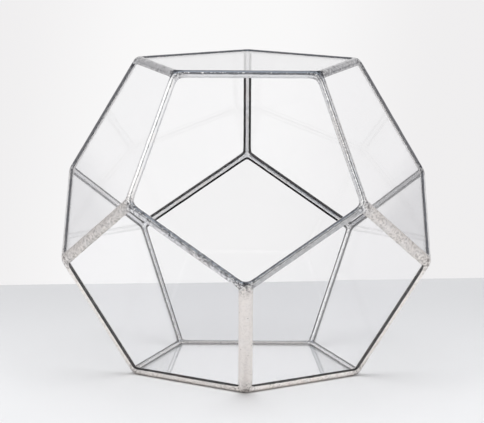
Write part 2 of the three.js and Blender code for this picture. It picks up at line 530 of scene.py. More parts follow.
@dataclass(frozen=True)
class SolderFinish:
    """Tin and lead solder: bright where it ran smooth, matt and pitted where it froze unevenly, warm where
    matt, with painted dark reflections and painted shade in the hollows of its dents.

    Attributes:
        bright: The smooth metal's colour.
        matt: The matt metal's colour; its warm tint is partly a painted reflection of warm surroundings.
        pit: The colour in its pits.
        tarnished: The colour of the painted dark reflections, and of the painted shade in the hollows of
            dents.
        roughness: Of the smooth and the matt metal.
        patch: Size of the brighter and duller places.
        patches: What the noise of that size adds to how matt it is.
        streak: Size of the places where the painted dark reflection is lighter or darker.
        streaks: What the noise of that size makes of the painted dark reflection where the solder is
            dented.
        ripple: Length and height of the frozen waves in it.
        hammer: Length and height of its small facets.
        level_hammer: The part of that height which facets have where nothing is dented.
        grain: Size and height of its fine grain.
        pits: Distance between its pits, and their depth.
        pit_edges: Where a pit ends, in that distance.
        pitted: How matt it has to be for pits.
        facet_shade: Which facets take the colour of the pits.
        shade: How much of it they take, and how much more where they are dented.
        hollows: Which facets get painted shade where they are dented, and how dark.
    """

    bright: Colour = (0.85, 0.85, 0.86)
    # The matt colour's warm tint is partly a painted reflection of warm surroundings.
    matt: Colour = (0.95, 0.90, 0.86)
    pit: Colour = (0.22, 0.18, 0.15)
    tarnished: Colour = (0.035, 0.035, 0.045)
    roughness: tuple[float, float] = (0.10, 0.42)
    patch: float = 12 * MM
    patches: Ramp = (0.38, 0.62, -0.2, 0.2)
    streak: float = 1.7 * MM
    streaks: Ramp = (0.36, 0.64, -0.95, 0.95)
    ripple: tuple[float, float] = (4.0 * MM, 0.22 * MM)
    hammer: tuple[float, float] = (1.3 * MM, 0.18 * MM)
    level_hammer: float = 0.15
    grain: tuple[float, float] = (0.40 * MM, 0.035 * MM)
    pits: tuple[float, float] = (3.2 * MM, 0.15 * MM)
    pit_edges: Ramp = (0.05, 0.11, 1.0, 0.0)
    pitted: Ramp = (0.2, 0.8)
    facet_shade: Ramp = (0.36, 0.56, 1.0, 0.0)
    shade: tuple[float, float] = (0.05, 0.55)
    hollows: Ramp = (0.30, 0.55, 0.4, 0.0)

    def material(self) -> Material:
        """Builds the material.

        Returns:
            A silvery metal, made matt, painted with dark reflections and dented by the piece's attributes
            matt, tarnish and dents, with painted shade in the hollows of its dents.
        """
        tree = ShaderTree(Slot.SOLDER.value)
        matt, tarnish, dents = (
            tree.node("ShaderNodeAttribute", attribute_name=item.name).outputs["Fac"]
            for item in fields(SeamLook)
        )
        patches = tree.step(tree.noise(self.patch, detail=4.0, roughness=0.6), *self.patches)
        skin = tree.step(tree.plus(matt, patches), 0.0, 1.0)
        facets = tree.noise(self.hammer[0], roughness=0.6)
        pit = tree.times(tree.specks(self.pits[0], self.pit_edges), tree.step(skin, *self.pitted))
        depth = tree.plus(self.shade[0], tree.times(dents, self.shade[1]))
        shade = tree.times(tree.step(facets, *self.facet_shade), skin, depth)
        clean = tree.mix(skin, self.bright, self.matt)
        metal = tree.mix(tree.math("MAXIMUM", pit, shade), clean, self.pit)
        # Painted dark reflection, streaked where the solder is dented, plus painted shade in the hollows of
        # dents; both go towards the dark colour.
        streaks = tree.step(tree.noise(self.streak, detail=4.0, roughness=0.7), *self.streaks)
        streaked = tree.times(tarnish, tree.plus(1.0, tree.times(streaks, dents)))
        dark = tree.plus(streaked, tree.times(tree.step(facets, *self.hollows), dents))
        surface = None
        for height, distance in (
            (tree.noise(self.ripple[0], detail=1.0), self.ripple[1]),
            (tree.times(facets, tree.plus(self.level_hammer, dents)), self.hammer[1]),
            (tree.times(tree.noise(self.grain[0], detail=3.0, roughness=0.65), skin), self.grain[1]),
            (tree.math("SUBTRACT", 1.0, pit), self.pits[1]),
        ):
            surface = tree.bump(height, distance, surface)
        tree.set(
            Base_Color=tree.mix(tree.math("MINIMUM", dark, 1.0), metal, self.tarnished),
            Metallic=1.0,
            Roughness=tree.step(skin, 0.0, 1.0, *self.roughness),
            Normal=surface,
        )
        return tree.material


# Panes and tape


@dataclass(frozen=True)
class TapedEdge:
    """How a pane's edge is taped, and how far it stands back from the case's edge.

    Attributes:
        glass: Thickness of a pane.
        tape_width: Width of the tape before it is folded.
        tape_shift: How far the tape is set towards the outside.
        tape: Thickness of the tape.
        stick: Room between glass, tape and solder.
        pane_set: How far a pane's edge stands back from the edge of the case's form.
        ground: Width of the ground corner along a pane's edge.
    """

    glass: float = 2.5 * MM
    tape_width: float = 4.4 * MM
    tape_shift: float = 0.25 * MM
    tape: float = 0.05 * MM
    stick: float = 0.012 * MM
    pane_set: float = 2.05 * MM
    ground: float = 0.2 * MM

    @property
    def lip_out(self) -> float:
        """Tape on the pane's outer face."""
        return (self.tape_width - self.glass) / 2 + self.tape_shift

    @property
    def lip_in(self) -> float:
        """Tape on its inner face."""
        return (self.tape_width - self.glass) / 2 - self.tape_shift

    def half_widths(self, half_fold: float) -> tuple[float, float]:
        """Returns how far the tape reaches from the middle of a seam, outside and inside.

        Args:
            half_fold: Half the angle between the two panes' normals.

        Returns:
            The two reaches, across the seam.
        """
        across, down = math.cos(half_fold), math.sin(half_fold)
        return (
            (self.pane_set + self.lip_out) * across,
            (self.pane_set + self.lip_in) * across - self.glass * down,
        )

    @property
    def layer(self) -> float:
        """From the glass to the solder, through the tape."""
        return self.tape + 2 * self.stick


def pentagon_lathe(name: str, profile: list[tuple[float, float]]) -> Mesh:
    """Turns a profile into a five-sided ring or disc round the Z axis.

    Args:
        name: The mesh's name.
        profile: Pairs of distance to a side and height; it closes on itself, or runs from axis to axis.

    Returns:
        The mesh, with its first corner towards +X.
    """
    stretch = 1 / math.cos(TURN / 2)
    verts: list[tuple[float, float, float]] = []
    rows: list[list[int]] = []
    for reach, height in profile:
        turns = 1 if reach == 0 else SIDES
        rows.append([len(verts) + k % turns for k in range(SIDES)])
        corner = reach * stretch
        verts += ((corner * math.cos(k * TURN), corner * math.sin(k * TURN), height) for k in range(turns))
    closed = profile[0][0] != 0
    faces = []
    for low, high in zip(rows, rows[1:] + rows[:1] if closed else rows[1:]):
        for k in range(SIDES):
            after = (k + 1) % SIDES
            faces.append(list(dict.fromkeys((low[k], low[after], high[after], high[k]))))
    mesh = bpy.data.meshes.new(name)
    mesh.from_pydata(verts, [], faces)
    mesh.validate()
    return mesh


@dataclass
class TapedPanes:
    """The eleven panes and the tape round each, set on the case's sides.

    Attributes:
        form: The form of the case.
        section: How a pane's edge is taped.
        low_section: How it is taped on the sides where the tape reaches further in.
        low_sides: Those sides.
        glass: The panes' finish.
        backing: The tape's finish.
    """

    form: CaseForm
    section: TapedEdge = TapedEdge()
    low_section: TapedEdge = TapedEdge(tape_shift=-0.28 * MM)
    low_sides: tuple[str, ...] = ("lower_0", "lower_4")
    glass: GlassFinish = GlassFinish()
    backing: TapeFinish = TapeFinish()

    @property
    def pane_inradius(self) -> float:
        """Distance from a pane's middle to its edges."""
        return self.form.face_inradius - self.section.pane_set

    def section_of(self, side: str) -> TapedEdge:
        """Returns how a side's pane is taped."""
        return self.low_section if side in self.low_sides else self.section

    def sides_like(self, section: TapedEdge) -> tuple[Face, ...]:
        """Returns the glazed sides that are taped in one way."""
        return tuple(face for face in self.form.glazed if self.section_of(face.name) == section)

    def build(self) -> list[bpy.types.Object]:
        """Builds the panes and the tape.

        Returns:
            The pieces.
        """
        glass, dark = self.glass.material(), self.backing.material()
        pieces = [self._piece("glass_panes", self._pane(), self.form.glazed, "pane", glass)]
        for name, section in (("copper_tape", self.section), ("copper_tape_low", self.low_section)):
            tape, sides = self._tape(section), self.sides_like(section)
            pieces.append(self._piece(name, tape, sides, "foil", dark))
        return pieces

    def _piece(self, name: str, shape: Mesh, sides: tuple[Face, ...], prefix: str,
               material: Material) -> bpy.types.Object:
        """Builds one piece of the visual model.

        Args:
            name: Its name.
            shape: The shape that it has on each side.
            sides: The sides.
            prefix: What the names of the CAD nodes that it replaces start with.
            material: Its material.

        Returns:
            The piece.
        """
        piece = self._set_on_sides(name, shape, sides, material)
        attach(piece, "root")
        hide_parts(*(f"{prefix}_{face.name}" for face in sides))
        return piece

    def _pane(self) -> Mesh:
        """Makes one pane, its outer face at height 0, with ground corners."""
        reach, deep, ground = self.pane_inradius, self.section.glass, self.section.ground
        return pentagon_lathe("pane", [
            (0, -deep), (reach - ground, -deep), (reach, -deep + ground),
            (reach, -ground), (reach - ground, 0), (0, 0),
        ])

    def _tape(self, section: TapedEdge) -> Mesh:
        """Makes the tape round one pane.

        Args:
            section: How the pane's edge is taped.

        Returns:
            The tape's mesh.
        """
        inner = self.pane_inradius + section.stick
        outer = inner + section.tape
        near, far = section.stick, section.stick + section.tape
        lip_out = self.pane_inradius - section.lip_out
        lip_in = self.pane_inradius - section.lip_in
        deep = section.glass
        return pentagon_lathe("tape", [
            (lip_in, -deep - far), (outer, -deep - far), (outer, far), (lip_out, far),
            (lip_out, near), (inner, near), (inner, -deep - near), (lip_in, -deep - near),
        ])

    def rooms(self) -> list[bpy.types.Object]:
        """Makes the room that the taped panes take out of the solder, an object for each way of taping."""
        return [
            self._set_on_sides("taped_room", self._room(section), self.sides_like(section), None)
            for section in (self.section, self.low_section)
        ]

    def _room(self, section: TapedEdge) -> Mesh:
        """Makes the room that one taped pane takes.

        Args:
            section: How the pane's edge is taped.

        Returns:
            The room's mesh.
        """
        edge = self.pane_inradius + section.layer
        lip_out = self.pane_inradius - section.lip_out - section.stick
        lip_in = self.pane_inradius - section.lip_in - section.stick
        deep, near, far = section.glass, section.stick, section.layer
        return pentagon_lathe("room", [
            (0, -deep - near), (lip_in, -deep - near), (lip_in, -deep - far), (edge, -deep - far),
            (edge, far), (lip_out, far), (lip_out, near), (0, near),
        ])

    def _set_on_sides(self, name: str, shape: Mesh, sides: tuple[Face, ...],
                      material: Material | None) -> bpy.types.Object:
        """Sets a copy of a shape on each of some sides.

        Args:
            name: The object's name.
            shape: The shape, its first corner towards +X and out of the case towards +Z.
            sides: The sides.
            material: The object's material.

        Returns:
            The object, with a plain mesh.
        """
        points = bpy.data.meshes.new(f"{name}_points")
        points.from_pydata([tuple(face.centre) for face in sides], [], [])
        turns = points.attributes.new("turn", "FLOAT_VECTOR", "POINT")
        for item, face in zip(turns.data, sides):
            item.vector = self._turn(face)
        pattern = bpy.data.objects.new(f"{name}_shape", shape)
        bpy.context.collection.objects.link(pattern)
        piece = apply_tree(name, points, self._tree(name), {"Shape": pattern, "Material": material})
        bpy.data.objects.remove(pattern)
        return piece

    def _turn(self, face: Face) -> Euler:
        """Returns the turn that sets a shape on a side.

        Args:
            face: The side.

        Returns:
            The turn, with the shape's first corner at the side's first.
        """
        to_corner = unit(self.form.corners[face.corners[0]] - face.centre)
        axes = np.stack((to_corner, np.cross(face.normal, to_corner), face.normal), axis=1)
        return Matrix(axes.tolist()).to_euler()

    @staticmethod
    def _tree(name: str) -> bpy.types.NodeTree:
        """Builds the tree that sets a shape on points with a turn.

        Args:
            name: The tree's name.

        Returns:
            The tree.
        """
        tree = GeometryTree(name, {"Shape": "Object", "Material": "Material"})
        turn = tree.node("GeometryNodeInputNamedAttribute", {"Name": "turn"}, data_type="FLOAT_VECTOR")
        rotation = tree.node("FunctionNodeEulerToRotation", {"Euler": turn.outputs["Attribute"]}).outputs[0]
        points = tree.node("GeometryNodeMeshToPoints", {"Mesh": tree.socket("Geometry")}).outputs[0]
        shape = tree.node("GeometryNodeObjectInfo", {"Object": tree.socket("Shape")}).outputs["Geometry"]
        placed = {"Points": points, "Instance": shape, "Rotation": rotation}
        tree.close(tree.node("GeometryNodeInstanceOnPoints", placed).outputs[0])
        return tree.tree


# Solder


@dataclass(frozen=True)
class SeamSection:
    """A solder seam across its length: a round bead outside the case and a smaller one inside.

    Attributes:
        rise: Height of its ridge over the case's edge.
        bottom: Depth of the inner bead's middle under the case's edge.
        overlap: How far the solder reaches past the tape, outside and inside.
        outer_step: Angle between the points of the outer curve, in degrees.
        outer_points: Their number.
        inner_turns: The inner curve's points, as fractions of its half.
        inner_swell: How far they lie outside it.
    """

    rise: float = 0.34 * MM
    bottom: float = 4.12 * MM
    overlap: tuple[float, float] = (0.06 * MM, -0.06 * MM)
    outer_step: float = 25.0
    outer_points: int = 5
    inner_turns: tuple[float, ...] = (1.35, 0.62, 0.0)
    inner_swell: float = 1.04

    @property
    def points(self) -> int:
        """The number of points all round it."""
        return 2 * (self.outer_points + len(self.inner_turns) - 1)

    @staticmethod
    def _centre(width: float, edge: float, top: float) -> float:
        """Returns the centre's height of an arc, from half its width and its ends' and middle's height."""
        return (width**2 + edge**2 - top**2) / (2 * (edge - top))

    def half_ring(self, half_fold: float, glass: float,
                  reach: tuple[float, float]) -> list[tuple[float, float]]:
        """Returns one half of the seam's outline.

        Args:
            half_fold: Half the angle between the two panes' normals.
            glass: Thickness of the panes.
            reach: How far the seam reaches from its middle, outside and inside.

        Returns:
            Pairs of (to the side, out of the case), from the ridge to the inside's middle.
        """
        slope = math.tan(half_fold)
        wide, narrow = (one + more for one, more in zip(reach, self.overlap))
        centre = self._centre(wide, -slope * wide, self.rise)
        step = math.radians(self.outer_step)
        # The skin's smoothing draws a point in by a sixth of the way to each neighbour.
        radius = (self.rise - centre) * 6 / (4 + 2 * math.cos(step))
        outer = [
            (radius * math.sin(k * step), centre + radius * math.cos(k * step))
            for k in range(self.outer_points)
        ]
        low = -slope * narrow - glass / math.cos(half_fold)
        middle = self._centre(narrow, low, -self.bottom)
        span = math.atan2(narrow, middle - low)
        small = (middle + self.bottom) * self.inner_swell
        inner = [
            (small * math.sin(turn * span), middle - small * math.cos(turn * span))
            for turn in self.inner_turns
        ]
        return outer + inner


class Cage:
    """Points and four-sided faces, some of them shared where edges meet."""

    def __init__(self) -> None:
        """Starts an empty cage."""
        self.points: list[list[Point]] = []
        self.faces: list[tuple[int, ...]] = []
        self.shared: dict[tuple, int] = {}

    def add(self, point: Point) -> int:
        """Adds a point and returns its number."""
        self.points.append([point])
        return len(self.points) - 1

    def share(self, key: tuple, point: Point | None) -> int:
        """Adds a say in where a shared point lies.

        Args:
            key: The shared point's key.
            point: Where this edge would have it, or None to leave that to the others.

        Returns:
            The point's number.
        """
        if key not in self.shared:
            self.points.append([])
            self.shared[key] = len(self.points) - 1
        number = self.shared[key]
        if point is not None:
            self.points[number].append(point)
        return number

    def skin(self, rings: list[list[int]]) -> None:
        """Adds the faces between rings of the same size.

        Args:
            rings: The rings, in order along an edge.
        """
        for first, second in zip(rings, rings[1:]):
            count = len(first)
            for i in range(count):
                after = (i + 1) % count
                self.faces.append((first[i], first[after], second[after], second[i]))

    def mesh(self, name: str) -> Mesh:
        """Makes the mesh, with its faces pointing out.

        Args:
            name: The mesh's name.

        Returns:
            The mesh.
        """
        mesh = bpy.data.meshes.new(name)
        mesh.from_pydata([tuple(np.mean(group, axis=0)) for group in self.points], [], self.faces)
        face_out(mesh)
        return mesh


def face_out(mesh: Mesh) -> None:
    """Turns a closed mesh's faces outwards.

    Args:
        mesh: The mesh.
    """
    work = bmesh.new()
    work.from_mesh(mesh)
    bmesh.ops.recalc_face_normals(work, faces=work.faces)
    if work.calc_volume(signed=True) < 0:
        bmesh.ops.reverse_faces(work, faces=work.faces)
    work.to_mesh(mesh)
    work.free()


@dataclass
class SolderFrame:
    """All the solder of the case, fused into one frame of seams and a rim.

    The frame's cage is a ring of points round each edge, at steps along it. At a corner the rings of
    the three edges share their points on the mitre planes between them, so the cage is one closed body.

    Attributes:
        form: The form of the case.
        panes: The taped panes that it holds.
        seam: A seam's section.
        reaches: How far the wider and the narrower seams reach from their middle, outside.
        rim_radius: Radius of the round bead along the mouth.
        rim_set: How far that bead's centre lies inside the pane's edge.
        flare: How much wider a seam is at a corner.
        flare_reach: How far from the corner it widens.
        steps: Rings along an edge.
        seam_gap: From a corner to a seam's first ring.
        rim_gap: From a corner to a rim's first ring.
        wave: Height and length of the slow unevenness of the surface.
        ripple: Height and length of the finer one.
        seed: Seed of both.
        look: A seam's look.
        edge_looks: The look of the edges that differ, with the dark reflection painted on each edge.
        look_blend: Over what distance one edge's look goes into the next.
        bright_inside: Edges whose look is only outside.
        inside: Depth under the case's edge from which the solder is inside.
        inside_look: Their look inside.
        knot_look: What is added to the look at a corner: more painted dark reflection and deeper dents.
        knot_reach: How far from the corner.
        crease: The angle of an edge that stays sharp, in degrees.
        smoothing: How many times the cage's faces are split.
        finish: The solder's finish.
    """

    form: CaseForm
    panes: TapedPanes
    seam: SeamSection = SeamSection()
    reaches: dict[str, float] = field(default_factory=lambda: {
        "leg_0": 3.7 * MM, "rise_4": 3.3 * MM, "fall_0": 3.5 * MM,
        "leg_1": 1.95 * MM, "leg_4": 1.95 * MM, "crown_1": 2.1 * MM, "crown_2": 2.1 * MM,
    })
    rim_radius: float = 2.12 * MM
    rim_set: float = 0.75 * MM
    flare: float = 1.06
    flare_reach: float = 5.0 * MM
    steps: int = 12
    seam_gap: float = 4.4 * MM
    rim_gap: float = 7.0 * MM
    wave: tuple[float, float] = (0.10 * MM, 6.5 * MM)
    ripple: tuple[float, float] = (0.05 * MM, 2.2 * MM)
    seed: float = 7.0
    look: SeamLook = SeamLook()
    # Each look is matt, painted dark reflection and dents; the dark reflection is painted edge by edge to
    # give each seam its darker tone.
    edge_looks: dict[str, SeamLook] = field(default_factory=lambda: {
        "leg_0": SeamLook(1.0, 0.07, 0.05), "base_4": SeamLook(0.9, 0.12), "base_0": SeamLook(0.9),
        "rise_4": SeamLook(0.85, 0.20, 0.45), "fall_0": SeamLook(0.9, 0.13, 0.45),
        "crown_3": SeamLook(0.1, 0.56, 0.5), "crown_0": SeamLook(0.1, 0.53, 0.5),
        "crown_1": SeamLook(0.1, 0.0, 0.05), "crown_2": SeamLook(0.1, 0.0, 0.05),
        "shoulder_3": SeamLook(0.1, 0.82, 0.05), "shoulder_1": SeamLook(0.1, 0.82, 0.05),
        "leg_4": SeamLook(0.9, 0.0), "leg_1": SeamLook(0.9, 0.0), "fall_1": SeamLook(0.2, 0.5),
        "leg_2": SeamLook(0.1), "leg_3": SeamLook(0.1), "base_2": SeamLook(1.0, 0.0, 0.0),
        "crown_4": SeamLook(0.05, 0.05), "shoulder_4": SeamLook(0.15, 0.0, 0.0),
        "shoulder_0": SeamLook(0.3, 0.04, 0.35), "fall_4": SeamLook(0.2, 0.12, 1.3),
        "rise_0": SeamLook(0.2, 0.42, 0.15),
    })
    look_blend: float = 1.2 * MM
    bright_inside: tuple[str, ...] = ("shoulder_1", "shoulder_3")
    inside: float = 2.4 * MM
    inside_look: SeamLook = SeamLook(0.6)
    knot_look: SeamLook = SeamLook(0.0, 0.12, 0.8)
    knot_reach: float = 9 * MM
    crease: float = 38.0
    smoothing: int = 2
    finish: SolderFinish = SolderFinish()

    def build(self) -> bpy.types.Object:
        """Builds the frame.

        Returns:
            The piece.
        """
        values = {"Material": self.finish.material(), "Seed": self.seed}
        for kind, (height, length) in (("Wave", self.wave), ("Ripple", self.ripple)):
            values |= {f"{kind} height": height, f"{kind} length": length}
        skin = apply_tree("solder_skin", self._cage(), self._tree(), values)
        piece = self._cut_round_panes(skin)
        self._spread_looks(piece.data)
        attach(piece, "root")
        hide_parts(*(edge.node for edge in self.form.edges))
        return piece

    def _cut_round_panes(self, skin: bpy.types.Object) -> bpy.types.Object:
        """Cuts the taped panes' room out of the solder.

        Args:
            skin: The solder with nothing cut out.

        Returns:
            The cut solder, as a plain object.
        """
        rooms = self.panes.rooms()
        for room in rooms:
            cut = skin.modifiers.new(room.name, "BOOLEAN")
            cut.operation = "DIFFERENCE"
            cut.solver = "MANIFOLD"
            cut.object = room
        piece = baked("solder_frame", skin)
        for room in rooms:
            bpy.data.objects.remove(room)
        piece.data.shade_smooth()
        piece.data.set_sharp_from_angle(angle=math.radians(self.crease))
        return piece

    def _spread_looks(self, mesh: Mesh) -> None:
        """Writes the seams' looks to the mesh, each point's from the edges that are nearest.

        Args:
            mesh: The solder's mesh.
        """
        points = np.empty(3 * len(mesh.vertices), dtype=np.float32)
        mesh.vertices.foreach_get("co", points)
        points = points.reshape(-1, 3)
        spread, total = np.zeros((len(points), len(fields(SeamLook)))), np.zeros((len(points), 1))
        for edge in self.form.edges:
            start, end = (self.form.corners[i] for i in edge.ends)
            along = unit(end - start)
            place = np.clip((points - start) @ along, 0, self.form.edge)
            away = points - start - place[:, None] * along
            weight = np.exp(-np.linalg.norm(away, axis=1) / self.look_blend)[:, None]
            look = np.tile(astuple(self.edge_looks.get(edge.name, self.look)), (len(points), 1))
            if edge.name in self.bright_inside:
                depth = away @ unit(self.form.centre - (start + end) / 2)
                look[depth > self.inside] = astuple(self.inside_look)
            spread += weight * look
            total += weight
        spread /= total
        # Near a corner the look gets more painted dark reflection and deeper dents.
        away = np.min([np.linalg.norm(points - corner, axis=1) for corner in self.form.corners], axis=0)
        near = np.clip(1 - away / self.knot_reach, 0, 1)
        spread += near[:, None] * np.array(astuple(self.knot_look))
        for name, values in zip((item.name for item in fields(SeamLook)), spread.T):
            attribute = mesh.attributes.new(name, "FLOAT", "POINT")
            attribute.data.foreach_set("value", values.astype(np.float32))

    # The cage

    def _seam_ring(self, edge: Edge, flare: float) -> list[Point]:
        """Returns a seam's ring as offsets from the edge.

        Args:
            edge: The edge.
            flare: How much of the corner's widening it has, from 0 to 1.

        Returns:
            The offsets, from the ridge round by the first pane.
        """
        start, end = (self.form.corners[i] for i in edge.ends)
        middle = (start + end) / 2
        outward = unit(middle - self.form.centre)
        side = towards(np.cross(outward, unit(end - start)), edge.faces[0].centre - middle)
        widen = 1 + (self.flare - 1) * flare
        halves = []
        for face, way in zip(edge.faces, (side, -side)):
            section = self.panes.section_of(face.name)
            outer, inner = section.half_widths(self.form.half_fold)
            outer = self.reaches.get(edge.name, outer)
            half = self.seam.half_ring(self.form.half_fold, section.glass, (outer, inner))
            halves.append([way * x * widen + outward * y for x, y in half])
        return halves[0] + halves[1][-2:0:-1]

    def _rim_ring(self, edge: Edge) -> list[Point]:
        """Returns a rim bead's ring as offsets from the edge.

        Args:
            edge: The edge.

        Returns:
            The offsets, from the bead's outer side round by the pane.
        """
        start, end = (self.form.corners[i] for i in edge.ends)
        face, section = edge.faces[0], self.panes.section
        inward = towards(np.cross(face.normal, unit(end - start)), face.centre - start)
        middle = inward * (section.pane_set + self.rim_set) - face.normal * section.glass / 2
        angles = (2 * math.pi * i / self.seam.points for i in range(self.seam.points))
        return [
            middle + self.rim_radius * (inward * math.sin(angle) + face.normal * math.cos(angle))
            for angle in angles
        ]

    def _ring(self, edge: Edge, flare: float) -> list[Point]:
        """Returns the ring of an edge, seam or rim."""
        return self._rim_ring(edge) if edge.is_rim else self._seam_ring(edge, flare)

    def _cage(self) -> Mesh:
        """Builds the cage.

        Returns:
            A closed mesh of four-sided faces.
        """
        cage = Cage()
        length = self.form.edge
        for edge in self.form.edges:
            start, end = (self.form.corners[i] for i in edge.ends)
            along = unit(end - start)
            gap = self.rim_gap if edge.is_rim else self.seam_gap
            rings = [self._end_ring(cage, edge, edge.ends[0])]
            for k in range(self.steps):
                place = gap + (length - 2 * gap) * k / (self.steps - 1)
                flare = math.exp(-((min(place, length - place) / self.flare_reach) ** 2))
                middle = start + along * place
                rings.append([cage.add(middle + offset) for offset in self._ring(edge, flare)])
            rings.append(self._end_ring(cage, edge, edge.ends[1]))
            cage.skin(rings)
        return cage.mesh("solder_cage")

    def _end_ring(self, cage: Cage, edge: Edge, corner: int) -> list[int]:
        """Adds an edge's ring at a corner, on the mitre planes with its neighbours.

        Args:
            cage: The cage.
            edge: The edge.
            corner: The corner.

        Returns:
            The ring's points in the cage.
        """
        offsets = self._ring(edge, 1.0)
        half = len(offsets) // 2
        along = self.form.direction(edge, corner)
        neighbours = [self.form.neighbour(edge, corner, face) for face in edge.faces]
        # Where a seam meets the mouth, the rims say where the points that all three edges share lie.
        beside_mouth = neighbours[0].is_rim and not edge.is_rim
        ring = []
        for i, offset in enumerate(offsets):
            shared_by_all = i in (0, half)
            if shared_by_all:
                other, key = neighbours[1 if edge.is_rim else 0], (corner, i)
            else:
                other = neighbours[0 if i < half else 1]
                key = (corner, frozenset((edge.name, other.name)), min(i, 2 * half - i))
            normal = unit(along - self.form.direction(other, corner))
            point = self.form.corners[corner] + offset - along * (normal @ offset) / (normal @ along)
            ring.append(cage.share(key, None if shared_by_all and beside_mouth else point))
        return ring

    def _tree(self) -> bpy.types.NodeTree:
        """Builds the tree that smooths the cage and gives the solder its frozen, uneven surface.

        Returns:
            The tree.
        """
        sizes = ("Wave height", "Wave length", "Ripple height", "Ripple length", "Seed")
        tree = GeometryTree("solder_surface", {**dict.fromkeys(sizes, "Float"), "Material": "Material"})
        inputs = {"Mesh": tree.socket("Geometry"), "Level": self.smoothing}
        smooth = tree.node("GeometryNodeSubdivisionSurface", inputs).outputs[0]
        height = 0.0
        for kind in ("Wave", "Ripple"):
            scale = tree.math("DIVIDE", 1.0, tree.socket(f"{kind} length"))
            inputs = {"Scale": scale, "W": tree.socket("Seed"), "Detail": 1.0}
            noise = tree.node("ShaderNodeTexNoise", inputs, noise_dimensions="4D").outputs["Fac"]
            swing = tree.times(tree.math("SUBTRACT", noise, 0.5), 2.0)
            height = tree.plus(tree.times(swing, tree.socket(f"{kind} height")), height)
        inputs = {0: tree.node("GeometryNodeInputNormal").outputs[0], "Scale": height}
        offset = tree.node("ShaderNodeVectorMath", inputs, operation="SCALE").outputs[0]
        uneven = tree.node("GeometryNodeSetPosition", {"Geometry": smooth, "Offset": offset}).outputs[0]
        place = tree.parts(tree.node("GeometryNodeInputPosition").outputs[0])
        place["Z"] = tree.math("MAXIMUM", place["Z"], 0.0)
        inputs = {"Geometry": uneven, "Position": tree.node("ShaderNodeCombineXYZ", place).outputs[0]}
        tree.close(tree.node("GeometryNodeSetPosition", inputs).outputs[0])
        return tree.tree


# The studio


@dataclass(frozen=True)
class Window:
    """A soft bright place in the room.

    Attributes:
        azimuth: The angles round the case, from the front to the right, between which it lies, in degrees.
        elevation: The heights between which it lies, in degrees.
        colour: Its colour.
        soft: Width of its soft edge, in degrees.
    """

    azimuth: tuple[float, float]
    elevation: tuple[float, float]
    colour: Colour
    soft: float = 8.0

    def cover(self, tree: NodeTree, azimuth: Socket, elevation: Socket) -> Socket:
        """Returns how much of it there is in a direction.

        Args:
            tree: The world's tree.
            azimuth: The direction's angle round the case, in radians.
            elevation: Its height, in radians.

        Returns:
            From 0 outside to 1 inside.
        """
        inside = []
        fade = math.radians(self.soft) / 2
        for angle, span in ((azimuth, self.azimuth), (elevation, self.elevation)):
            middle, half = math.radians((span[0] + span[1]) / 2), math.radians((span[1] - span[0]) / 2)
            away = tree.math("ABSOLUTE", tree.math("SUBTRACT", angle, middle))
            inside.append(tree.step(away, half + fade, half - fade))
        return tree.times(*inside)


@dataclass(frozen=True)
class RoomGlow:
    """The room that the case reflects: light near the horizon, dim above that, with bright windows.

    The ramps read a direction's X, Y and Z, each from -1 to 1.

    Attributes:
        light: Colour near the horizon.
        dim: Colour of the rest.
        overhead: Colour overhead.
        behind: Where in Y the part behind the case begins.
        before: Where in Y the part in front begins.
        beside_top: Where in Z the light ends beside the case.
        behind_top: Where in Z it ends behind the case.
        before_top: Where in Z it ends in front.
        overhead_low: Where in Z the part overhead begins.
        windows: The bright places.
    """

    light: Colour = (0.80, 0.80, 0.815)
    dim: Colour = (0.17, 0.175, 0.19)
    overhead: Colour = (0.36, 0.40, 0.46)
    behind: Ramp = (0.35, 0.65)
    before: Ramp = (-0.50, -0.80)
    beside_top: Ramp = (0.40, 0.60)
    behind_top: Ramp = (0.30, 0.50)
    before_top: Ramp = (-0.04, 0.04)
    overhead_low: Ramp = (0.82, 0.92)
    windows: tuple[Window, ...] = (
        Window((-100, -6), (31, 62), (1.3, 1.3, 1.29)),
        Window((-60, -10), (4, 28), (0.45, 0.46, 0.49)),
        Window((10, 84), (2, 40), (1.05, 1.05, 1.05)),
        Window((36, 100), (40, 60), (0.80, 0.81, 0.84)),
    )

    def build(self) -> None:
        """Sets the world."""
        world = bpy.data.worlds.new("room")
        bpy.context.scene.world = world
        world.use_nodes = True
        tree = NodeTree(world.node_tree)
        way = tree.parts(tree.node("ShaderNodeTexCoord").outputs["Generated"])
        behind = tree.step(way["Y"], *self.behind)
        beside_dim = tree.times(tree.step(way["Z"], *self.beside_top), tree.math("SUBTRACT", 1.0, behind))
        behind_dim = tree.times(tree.step(way["Z"], *self.behind_top), behind)
        before_dim = tree.times(tree.step(way["Z"], *self.before_top), tree.step(way["Y"], *self.before))
        dim = tree.math("MAXIMUM", tree.plus(beside_dim, behind_dim), before_dim)
        glow = tree.mix(dim, self.light, self.dim)
        glow = tree.mix(tree.step(way["Z"], *self.overhead_low), glow, self.overhead)
        azimuth = tree.math("ARCTAN2", way["X"], tree.times(way["Y"], -1.0))
        elevation = tree.math("ARCSINE", way["Z"])
        for window in self.windows:
            glow = tree.mix(window.cover(tree, azimuth, elevation), glow, window.colour)
        tree.feed(world.node_tree.nodes["Background"].inputs["Color"], glow)


# The steps that bound the painted shade of the dimmer lower part of the sweep's wall, at both sides.
LOW_BAND = (("across", 1.3, 1.8), ("Z", 0.05, 0.30), ("Z", 0.56, 0.47))


@dataclass(frozen=True)
class Tone:
    """A painted tone of shade on the glowing sweep.

    Attributes:
        colour: Its colour.
        steps: The measures of a place that it depends on, each with its smooth step.
    """

    colour: Colour
    steps: tuple[tuple[str, float, float], ...]


